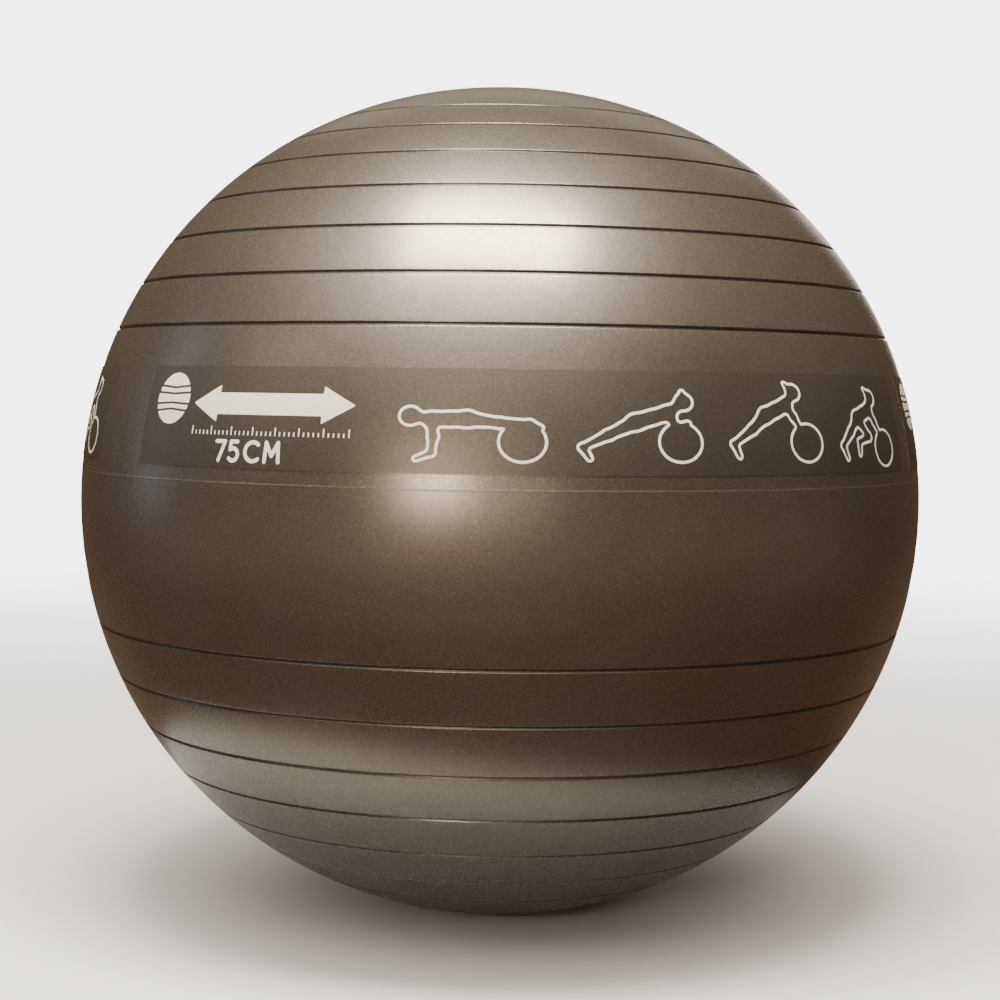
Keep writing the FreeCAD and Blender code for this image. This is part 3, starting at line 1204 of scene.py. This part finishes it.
@dataclass(frozen=True)
class SizeMark:
    """The size mark: a ball, a diameter arrow, a row of ruler ticks and the size, in millimetres.

    Each ring across the ball has its rise above the centre and its dip in the middle. Steps are the sizes of
    the squares that each shape is cut out in.
    """

    ball_centre: Point = (34.6, 52.8)
    ball_radius: float = 20.5
    ball_step: float = 0.8
    rings: tuple[Point, ...] = ((10.5, -2.0), (4.8, -1.2), (-4.8, 1.2), (-10.5, 2.0))
    ring_gap: float = 1.8
    ring_overrun: float = 4.0
    arrow_start: float = 62.0
    arrow_end: float = 212.0
    arrow_height: float = 49.5
    arrow_step: float = 0.9
    bar: float = 8.5
    bar_overlap: float = 4.0
    head_length: float = 27.0
    head_width: float = 29.0
    tick_count: int = 36
    tick_pitch: float = 4.1
    tick_length: float = 3.2
    tick_width: float = 1.1
    tick_corner: Point = (65.0, 25.2)
    digits_place: Point = (93.0, 5.6)
    digit_height: float = 14.6
    digit_line: float = 3.1
    digit_step: float = 0.6

    def ball(self) -> Field:
        """Draw the solid ball with its rings left open.

        Returns:
            The field.
        """
        x, y = self.ball_centre
        reach = self.ball_radius + self.ring_overrun
        shape = disc(self.ball_centre, self.ball_radius)
        for rise, dip in self.rings:
            line = [(x - reach, y + rise), (x, y + rise + dip), (x + reach, y + rise)]
            shape = without(shape, stroke(line, self.ring_gap))
        return shape

    def arrow(self) -> Field:
        """Draw the double-headed arrow.

        Returns:
            The field.
        """
        middle, half = self.arrow_height, self.head_width / 2
        left, right, length = self.arrow_start, self.arrow_end, self.head_length
        inset = length - self.bar_overlap
        outlines = (
            [
                (left + inset, middle - self.bar),
                (right - inset, middle - self.bar),
                (right - inset, middle + self.bar),
                (left + inset, middle + self.bar),
            ],
            [(left, middle), (left + length, middle - half), (left + length, middle + half)],
            [(right, middle), (right - length, middle + half), (right - length, middle - half)],
        )
        return union([polygon(outline) for outline in outlines])

    def digits(self) -> Field:
        """Draw the size in plain strokes.

        Returns:
            The field.
        """
        x, y = self.digits_place
        top = y + self.digit_height
        five = arc((x + 16.8, y + 4.7), 4.7, 128, -140)
        strokes = [
            [(x, top), (x + 8.6, top), (x + 2.8, y)],
            [(x + 20.6, top), (x + 14.4, top), five[0]],
            five,
            arc((x + 35.5, y + 7.3), 7.3, 48, 312),
            [(x + 46.5, y), (x + 47.4, top), (x + 52.6, y + 4.6), (x + 57.8, top), (x + 58.7, y)],
        ]
        return union([stroke(points, self.digit_line) for points in strokes])

    def flat(self) -> Mesh:
        """Cut out everything but the ticks.

        Returns:
            The flat mesh.
        """
        left, right = self.arrow_start - 2, self.arrow_end + 2
        return merged([
            cut_out(self.ball(), (10, 30), (60, 80), self.ball_step),
            cut_out(self.arrow(), (left, 32), (right, 68), self.arrow_step),
            cut_out(self.digits(), (90, 0), (170, 24), self.digit_step),
        ])

    def ticks(self) -> dict[str, object]:
        """List what the tree for ticks needs.

        Returns:
            The value of each of its own inputs, in metres.
        """
        return {
            "Count": self.tick_count,
            "Pitch": self.tick_pitch * MM,
            "Length": self.tick_length * MM,
            "Width": self.tick_width * MM,
            "Corner": (self.tick_corner[0] * MM, self.tick_corner[1] * MM, 0.0),
        }


@dataclass
class PrintPanels:
    """The three transfer films and the ink on them. Angles are in degrees, lengths in metres."""

    crown: Crown
    bottom: float = 6.1
    top: float = 18.4
    span: float = 113.2
    starts: dict[str, float] = field(default_factory=lambda: {"front": -50.2, "left": -175.7, "right": 67.3})
    film_thickness: float = 0.25 * MM
    film_lift: float = 0.02 * MM
    film_cell: float = 6.0 * MM
    ink_thickness: float = 0.07 * MM
    line_width: float = 2.2 * MM
    line_spacing: float = 1.6 * MM
    stretch: float = 1.17

    def build(self, wardrobe: Wardrobe) -> None:
        """Make every film and its ink.

        Args:
            wardrobe: Dresses and places them.
        """
        press = Press(self.crown)
        films, lines, solids, ticks = press.film(), press.line_ink(), press.solid_ink(), press.tick_ink()
        middle = math.radians((self.bottom + self.top) / 2)
        girth = self.crown.axis_offset + self.crown.arc_radius * math.cos(middle)
        mark = SizeMark()
        solid = mark.flat()
        figures = merged([figure.flat(self.stretch) for figure in FIGURES])
        for side, start in self.starts.items():
            ink = {
                "Start Longitude": math.radians(start),
                "Base Latitude": math.radians(self.bottom),
                "Middle Latitude": middle,
                "Lift": self.film_thickness,
                "Thickness": self.ink_thickness,
                "Line Width": self.line_width,
                "Spacing": self.line_spacing,
            }
            sheet = {
                **ink,
                "Lift": self.film_lift,
                "Thickness": self.film_thickness,
                "Width": girth * math.radians(self.span),
                "Height": self.crown.arc_radius * math.radians(self.top - self.bottom),
                "Cell": self.film_cell,
            }
            film = grow(films, sheet)
            wardrobe.place(f"film_{side}", film, CLEAR_FILM, Body.BALL, f"print_panel_{side}")
            outlines = upright(grow(lines, ink, figures))
            wardrobe.place(f"figure_ink_{side}", outlines, WHITE_INK, Body.BALL)
            size = merged([grow(solids, ink, solid), grow(ticks, {**ink, **mark.ticks()})])
            wardrobe.place(f"size_ink_{side}", size, WHITE_INK, Body.BALL)


# ---- The valve ---------------------------------------------------------------------------------


@dataclass(frozen=True)
class Corner:
    """A corner of a turned section: its radius, its depth under the valve's face, and its rounding."""

    radius: float
    depth: float
    rounding: float = 0.0


def rounded(corners: Sequence[Corner], closed: bool, steps: int = 5) -> list[Point]:
    """Round the corners of a section.

    Args:
        corners: The corners in order.
        closed: Whether the last one joins the first.
        steps: How many edges each rounded corner gets.

    Returns:
        The section's points, as radius and depth.
    """
    points: list[Point] = []
    spots = [Vector((corner.radius, corner.depth)) for corner in corners]
    last = len(corners) - 1
    for number, (corner, here) in enumerate(zip(corners, spots)):
        if corner.rounding <= 0 or (not closed and number in (0, last)):
            points.append(tuple(here))
            continue
        after = spots[0 if number == last else number + 1]
        start = here + (spots[number - 1] - here).normalized() * corner.rounding
        end = here + (after - here).normalized() * corner.rounding
        for step in range(steps + 1):
            share = step / steps
            points.append(tuple(start.lerp(here, share).lerp(here.lerp(end, share), share)))
    return points


def turned(section: Sequence[Point], closed: bool, face: Vector, segments: int) -> Mesh:
    """Turn a section about the valve's axis.

    Args:
        section: The section's points, as radius and depth in millimetres.
        closed: Whether the section is a closed loop, as on a ring. An open one starts and ends on the axis.
        face: The middle of the valve's face.
        segments: The number of steps round the axis.

    Returns:
        The closed mesh.
    """
    work = bmesh.new()
    loops: list[Loop] = []
    for radius, depth in section:
        angles = [math.tau * step / segments for step in range(segments if radius > 0 else 1)]
        offsets = [Vector((radius * math.cos(a), -depth, radius * math.sin(a))) for a in angles]
        loops.append([work.verts.new(face + offset * MM) for offset in offsets])
    for first, second in pairs(loops) if closed else zip(loops, loops[1:]):
        for step in range(segments):
            after = (step + 1) % segments
            corners = [first[step % len(first)], first[after % len(first)]]
            corners += [second[after % len(second)], second[step % len(second)]]
            work.faces.new(list(dict.fromkeys(corners)))
    bmesh.ops.recalc_face_normals(work, faces=work.faces)
    mesh = bpy.data.meshes.new("turned")
    work.to_mesh(mesh)
    work.free()
    return mesh


@dataclass
class AirValve:
    """The seat welded into the skin, and the plug pushed into it, in millimetres from the seat's face."""

    crown: Crown
    seat_radius: float = 14.0
    seat_gap: float = 0.15
    seat_thickness: float = 3.2
    bead_radii: Triple = (10.3, 10.7, 11.1)
    bead_depth: float = 0.25
    recess_radius: float = 9.3
    recess_depth: float = 2.0
    bore_radius: float = 4.55
    sleeve_radius: float = 7.4
    sleeve_length: float = 25.0
    seat_segments: int = 96
    head_radius: float = 9.0
    head_thickness: float = 1.9
    head_dish: float = 0.35
    dish_radii: Point = (6.9, 7.5)
    button_radii: Point = (2.3, 2.9)
    button_depth: float = 0.05
    stem_radius: float = 4.5
    stem_length: float = 19.0
    neck_radius: float = 3.9
    neck_length: float = 2.6
    neck_slope: float = 0.5
    neck_pitch: float = 4.8
    neck_count: int = 3
    first_neck: float = 1.6
    tip_radius: float = 3.4
    tip_length: float = 3.0
    hollow_radii: Point = (2.3, 2.0)
    hollow_depth: float = 9.0
    plug_segments: int = 72

    @property
    def face(self) -> Vector:
        """The middle of the seat's outer face."""
        return Vector((0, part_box("valve_seat")[1].y, self.crown.centre_height))

    def seat(self) -> Mesh:
        """Turn the seat: a flange with a groove round it, a recess for the plug's head, and a sleeve.

        Returns:
            The seat's mesh.
        """
        inner, middle, outer = self.bead_radii
        rim = self.seat_radius - self.seat_gap
        corners = [
            Corner(self.recess_radius, 0.0, 0.4),
            Corner(inner, 0.0, 0.15),
            Corner(middle, self.bead_depth, 0.2),
            Corner(outer, 0.0, 0.15),
            Corner(rim, 0.0, 0.5),
            Corner(rim, self.seat_thickness, 0.4),
            Corner(self.sleeve_radius, self.seat_thickness, 0.8),
            Corner(self.sleeve_radius, self.sleeve_length, 0.6),
            Corner(self.bore_radius, self.sleeve_length, 0.3),
            Corner(self.bore_radius, self.recess_depth, 0.3),
            Corner(self.recess_radius, self.recess_depth, 0.25),
        ]
        return turned(rounded(corners, closed=True), True, self.face, self.seat_segments)

    def plug(self) -> Mesh:
        """Turn the plug: a dished head with a button, and a stem with seal rings and a hollow tip.

        Returns:
            The plug's mesh.
        """
        top = self.recess_depth - self.head_thickness
        end = self.recess_depth + self.stem_length
        button, dish, hollow = top + self.button_depth, top + self.head_dish, end - self.hollow_depth
        corners = [
            Corner(0.0, button),
            Corner(self.button_radii[0], button, 0.3),
            Corner(self.button_radii[1], dish, 0.3),
            Corner(self.dish_radii[0], dish, 0.4),
            Corner(self.dish_radii[1], top, 0.2),
            Corner(self.head_radius, top, 0.55),
            Corner(self.head_radius, self.recess_depth, 0.3),
            Corner(self.stem_radius, self.recess_depth, 0.4),
        ]
        for neck in range(self.neck_count):
            start = self.recess_depth + self.first_neck + neck * self.neck_pitch
            corners += [
                Corner(self.stem_radius, start, 0.3),
                Corner(self.neck_radius, start + self.neck_slope, 0.3),
                Corner(self.neck_radius, start + self.neck_length - self.neck_slope, 0.3),
                Corner(self.stem_radius, start + self.neck_length, 0.3),
            ]
        corners += [
            Corner(self.stem_radius, end - self.tip_length, 0.5),
            Corner(self.tip_radius, end, 0.4),
            Corner(self.hollow_radii[0], end, 0.2),
            Corner(self.hollow_radii[1], hollow, 0.4),
            Corner(0.0, hollow),
        ]
        return turned(rounded(corners, closed=False), False, self.face, self.plug_segments)

    def build(self, wardrobe: Wardrobe) -> None:
        """Make the seat and the plug."""
        wardrobe.place("valve_collar", self.seat(), SEAT_RUBBER, Body.BALL, "valve_seat")
        wardrobe.place("plug", self.plug(), PLUG_PLASTIC, Body.PLUG, "valve_plug")


# ---- The studio --------------------------------------------------------------------------------


@dataclass(frozen=True)
class Softbox:
    """A rectangular light that faces a point, by default the ball's middle, in metres and watts."""

    name: str
    place: Triple
    width: float
    height: float
    power: float
    colour: Triple
    target: Triple = (0.0, 0.0, 0.37)

    def build(self) -> None:
        """Put the light in the scene."""
        lamp = bpy.data.lights.new(self.name, "AREA")
        lamp.shape = "RECTANGLE"
        lamp.size = self.width
        lamp.size_y = self.height
        lamp.energy = self.power
        lamp.color = self.colour
        light = bpy.data.objects.new(self.name, lamp)
        light.location = self.place
        direction = Vector(self.target) - Vector(self.place)
        light.rotation_euler = direction.to_track_quat("-Z", "Y").to_euler()
        light.visible_camera = False
        bpy.context.scene.collection.objects.link(light)


SOFTBOXES = (
    Softbox("ceiling_panel", (-0.08, -0.63, 2.1), 1.05, 0.6, 86.0, (1.0, 0.94, 0.78), (0.0, -0.25, 0.6)),
    Softbox("room_lamp", (-0.66, -2.45, 0.73), 0.54, 0.46, 16.0, (1.0, 0.84, 0.66)),
    Softbox("lamp_glow", (-0.3, -2.6, 0.75), 1.8, 1.0, 7.5, (1.0, 0.85, 0.74)),
    Softbox("front_wall", (-0.2, -2.6, 2.2), 2.8, 1.0, 6.0, (1.0, 0.84, 0.7)),
    Softbox("left_wall", (-2.4, -1.2, 1.6), 1.2, 1.2, 3.5, (1.0, 0.9, 0.83)),
    Softbox("cool_window", (-2.4, 0.3, 0.9), 0.5, 1.4, 1.9, (0.4, 0.65, 1.0)),
    Softbox("back_room", (0.2, 2.5, 2.3), 2.4, 1.0, 3.0, (1.0, 0.9, 0.8)),
    Softbox("back_lamp", (0.75, 2.5, 0.95), 1.0, 0.8, 5.0, (1.0, 0.92, 0.84)),
)


@dataclass
class Studio:
    """The camera, the floor, the lights and the surroundings. Angles are in degrees.

    The mirrored floor runs from wood to the far tone over far_reach from the middle, to the back wood over
    back_reach along +Y, and to the mat inside its radius. The seen floor fades into the backdrop over
    fade_reach.
    """

    crown: Crown
    distance: float = 1.818
    elevation: float = 3.26
    roll: float = 0.79
    lens: float = 71.57
    sensor: float = 36.0
    clip: Point = (0.05, 200.0)
    backdrop: float = 5.0
    glow_axis: Triple = (-0.11, -0.32, 1.0)
    glow: Triple = (6.0, 5.4, 4.9)
    glow_tightness: float = 8.0
    dim: Triple = (0.1, 0.066, 0.034)
    floor_size: float = 60.0
    floor_roughness: float = 0.8
    floor_tone: Triple = (0.86, 0.86, 0.86)
    fade_reach: Point = (0.7, 4.0)
    mat_tone: Triple = (0.53, 0.56, 0.55)
    mat_centre: Triple = (-0.065, 0.05, 0.0)
    mat_radius: float = 0.41
    mat_edge: float = 0.06
    wood_tone: Triple = (0.045, 0.018, 0.003)
    back_wood_tone: Triple = (0.075, 0.043, 0.024)
    back_reach: Point = (-0.4, 0.7)
    far_tone: Triple = (0.2, 0.145, 0.1)
    far_reach: Point = (1.1, 2.4)

    def camera(self) -> None:
        """Make the camera, a little above the ball's middle and turned a little about its line of sight."""
        tilt = math.radians(self.elevation)
        lens = bpy.data.cameras.new("camera")
        lens.lens = self.lens
        lens.sensor_width = self.sensor
        lens.clip_start, lens.clip_end = self.clip
        camera = bpy.data.objects.new("camera", lens)
        away = Vector((0, -math.cos(tilt), math.sin(tilt)))
        aim = (-away).to_track_quat("-Z", "Y").to_matrix().to_4x4()
        turn = Matrix.Rotation(math.radians(self.roll), 4, "Z")
        camera.matrix_world = Matrix.Translation(self.crown.centre + away * self.distance) @ aim @ turn
        bpy.context.scene.collection.objects.link(camera)
        bpy.context.scene.camera = camera

    def floor(self) -> None:
        """Lay a large floor: plain and pale to the eye, a grey mat on dark boards where the ball mirrors it.

        From underneath it is clear, so that the ball can be looked at from below.
        """
        half = self.floor_size / 2
        corners = [(-half, -half, 0), (half, -half, 0), (half, half, 0), (-half, half, 0)]
        mesh = bpy.data.meshes.new("floor")
        mesh.from_pydata(corners, [], [(0, 1, 2, 3)])
        material = bpy.data.materials.new("pale_floor")
        material.use_nodes = True
        wiring = Wiring(material.node_tree)
        shader = material.node_tree.nodes["Principled BSDF"]
        output = material.node_tree.nodes["Material Output"]
        seen = wiring.add("ShaderNodeLightPath").outputs["Is Camera Ray"]
        place = wiring.add("ShaderNodeTexCoord").outputs["Object"]
        reach, beside = (
            wiring.add("ShaderNodeVectorMath", {0: place, 1: centre}, operation="DISTANCE").outputs["Value"]
            for centre in ((0.0, 0.0, 0.0), self.mat_centre)
        )
        mat_reach = (self.mat_radius, self.mat_radius + self.mat_edge)
        tone: object = (*self.wood_tone, 1.0)
        for share, other in (
            (wiring.remap(reach, self.far_reach, (0.0, 1.0), "SMOOTHSTEP"), self.far_tone),
            (wiring.remap(wiring.parts(place)[1], self.back_reach, (0.0, 1.0), "SMOOTHSTEP"), self.back_wood_tone),
            (wiring.remap(beside, mat_reach, (1.0, 0.0)), self.mat_tone),
            (seen, self.floor_tone),
        ):
            tone = wiring.blend(share, tone, (*other, 1.0))
        wiring.feed(shader.inputs["Base Color"], tone)
        wiring.feed(shader.inputs["Roughness"], self.floor_roughness)
        fade = wiring.maths("MULTIPLY", seen, wiring.remap(reach, self.fade_reach, (0.0, 1.0), "SMOOTHSTEP"))
        glow = wiring.out("ShaderNodeEmission", {"Color": (1.0, 1.0, 1.0, 1.0), "Strength": self.backdrop})
        above = wiring.out("ShaderNodeMixShader", {0: fade, 1: shader.outputs[0], 2: glow})
        below = wiring.add("ShaderNodeNewGeometry").outputs["Backfacing"]
        clear = wiring.out("ShaderNodeBsdfTransparent")
        both = wiring.out("ShaderNodeMixShader", {0: below, 1: above, 2: clear})
        wiring.feed(output.inputs["Surface"], both)
        mesh.materials.append(material)
        floor = bpy.data.objects.new("floor", mesh)
        bpy.context.scene.collection.objects.link(floor)

    def surroundings(self) -> None:
        """Make a backdrop that is white to the eye, and in reflections a dim room with a glow above."""
        world = bpy.data.worlds.new("studio")
        world.use_nodes = True
        world.node_tree.nodes.clear()
        wiring = Wiring(world.node_tree)
        seen = wiring.add("ShaderNodeLightPath").outputs["Is Camera Ray"]
        way = wiring.add("ShaderNodeTexCoord").outputs["Generated"]
        axis = tuple(Vector(self.glow_axis).normalized())
        along = wiring.add("ShaderNodeVectorMath", {0: way, 1: axis}, operation="DOT_PRODUCT").outputs["Value"]
        lobe = wiring.maths("POWER", wiring.maths("MAXIMUM", along, 0.0), self.glow_tightness)
        glow = wiring.scaled(self.glow, lobe)
        room = wiring.out("ShaderNodeVectorMath", {0: glow, 1: self.dim}, operation="ADD")
        dim = wiring.out("ShaderNodeBackground", {"Color": room, "Strength": 1.0})
        white = {"Color": (1.0, 1.0, 1.0, 1.0), "Strength": self.backdrop}
        both = wiring.out("ShaderNodeMixShader", {0: seen, 1: dim, 2: wiring.out("ShaderNodeBackground", white)})
        wiring.add("ShaderNodeOutputWorld", {0: both})
        bpy.context.scene.world = world

    def build(self) -> None:
        """Set up the studio."""
        self.camera()
        self.floor()
        self.surroundings()
        for softbox in SOFTBOXES:
            softbox.build()


def main() -> None:
    """Build the ball and the studio round it."""
    logging.basicConfig(level=logging.INFO, format="%(name)s: %(message)s")
    crown = Crown()
    crown.check()
    Studio(crown).build()
    wardrobe = Wardrobe()
    BallSkin(crown).build(wardrobe)
    PrintPanels(crown).build(wardrobe)
    AirValve(crown).build(wardrobe)


if __name__ == "__main__":
    main()
